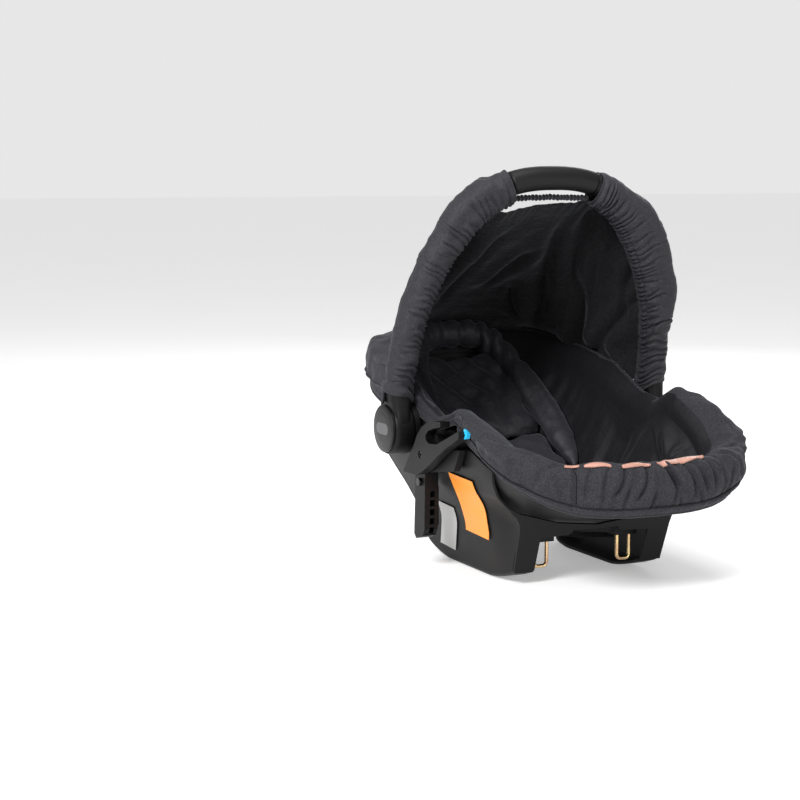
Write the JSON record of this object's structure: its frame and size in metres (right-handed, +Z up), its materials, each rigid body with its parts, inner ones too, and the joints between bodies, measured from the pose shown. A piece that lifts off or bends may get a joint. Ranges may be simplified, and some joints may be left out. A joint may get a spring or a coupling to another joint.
{
  "type": "infant car seat",
  "caption": "Infant carrier seat: rocker-based plastic bucket, swinging carry handle with side release buttons, handle-mounted sunshade, padded fabric cover, reducer insert and harness.",
  "frame": {"origin": "on the floor, under the middle of the whole seat", "axes": "+X across the seat, +Y towards the head end, +Z up"},
  "size_m": [0.442, 0.643, 0.5485],
  "materials": {
    "shell_plastic": "moulded charcoal plastic with a fine grain",
    "cap_plastic": "satin charcoal plastic",
    "badge_plastic": "satin grey plain oval",
    "grip_rubber": "soft-touch",
    "cover_fabric": "woven charcoal melange polyester",
    "insert_fabric": "satin-faced black polyester",
    "elastic": "gathered elastic casing",
    "webbing": "woven harness webbing",
    "plated_wire": "yellow-passivated zinc plating",
    "zinc_steel": "bright zinc",
    "foam": "expanded polystyrene",
    "marker_cyan": "cyan route marker",
    "label_orange": "plain coated label",
    "label_grey": "plain coated label",
    "button_red": "moulded",
    "gear_nylon": "natural nylon"
  },
  "bodies": {
    "seat": {"seat_shell": "shell_plastic", "rocker_left": "shell_plastic", "rocker_right": "shell_plastic", "front_apron": "shell_plastic", "foam_liner": "foam", "hub_boss_left": "shell_plastic", "hub_boss_right": "shell_plastic", "pivot_pin_left": "zinc_steel", "pivot_pin_right": "zinc_steel", "belt_guide_left": "shell_plastic", "belt_guide_right": "shell_plastic", "belt_marker_left": "marker_cyan", "belt_marker_right": "marker_cyan", "guide_screws": "zinc_steel", "side_post_left": "shell_plastic", "side_post_right": "shell_plastic", "latch_loop_left": "plated_wire", "latch_loop_right": "plated_wire", "loop_clamp_left": "shell_plastic", "loop_clamp_right": "shell_plastic", "under_webbing": "webbing", "webbing_plate": "zinc_steel", "warning_label": "label_orange", "data_label": "label_grey", "cover_rim": "cover_fabric", "cover_liner": "cover_fabric", "cover_snaps": "zinc_steel", "insert_back": "insert_fabric", "insert_roll": "insert_fabric", "insert_seat": "insert_fabric", "shoulder_strap_left": "webbing", "shoulder_strap_right": "webbing", "crotch_strap": "webbing", "buckle_housing": "shell_plastic", "buckle_tongues": "zinc_steel", "adjuster_body": "shell_plastic", "adjuster_strap": "webbing", "button_spring_left": "zinc_steel", "button_spring_right": "zinc_steel", "canopy_hood": "cover_fabric"},
    "handle": {"handle_frame": "shell_plastic", "handle_grip": "grip_rubber", "handle_hub_left": "shell_plastic", "handle_hub_right": "shell_plastic", "hub_cap_left": "cap_plastic", "hub_cap_right": "cap_plastic", "canopy_sleeve_left": "cover_fabric", "canopy_sleeve_right": "cover_fabric", "canopy_elastic": "elastic"},
    "button_left": {"handle_button_left": "badge_plastic", "lock_gear_left": "gear_nylon"},
    "button_right": {"handle_button_right": "badge_plastic", "lock_gear_right": "gear_nylon"},
    "buckle_button": {"buckle_button": "button_red"},
    "adjuster_lever": {"adjuster_lever": "zinc_steel"}
  },
  "joints": [
    {"name": "handle_pivot", "type": "hinge", "parent": "seat", "child": "handle", "pos_m": [0, 0.031, 0.193], "axis": [1, 0, 0], "range_deg": [-95, 10], "deforming": ["canopy_hood"]},
    {"name": "button_left_press", "type": "slide", "parent": "handle", "child": "button_left", "axis": [1, 0, 0], "range_m": [0, 0.004], "stiffness_N_per_m": 1500, "springref_m": -0.001, "deforming": ["button_spring_left"]},
    {"name": "button_right_press", "type": "slide", "parent": "handle", "child": "button_right", "axis": [-1, 0, 0], "range_m": [0, 0.004], "stiffness_N_per_m": 1500, "springref_m": -0.001, "deforming": ["button_spring_right"]},
    {"name": "buckle_release", "type": "slide", "parent": "seat", "child": "buckle_button", "axis": [0, 0, -1], "range_m": [0, 0.003], "stiffness_N_per_m": 2000, "springref_m": -0.001},
    {"name": "adjuster_lift", "type": "hinge", "parent": "seat", "child": "adjuster_lever", "pos_m": [0, -0.206, 0.1363], "axis": [1, 0, 0], "range_deg": [0, 28], "stiffness_Nm_per_rad": 0.4, "springref_deg": -11.46}
  ]
}
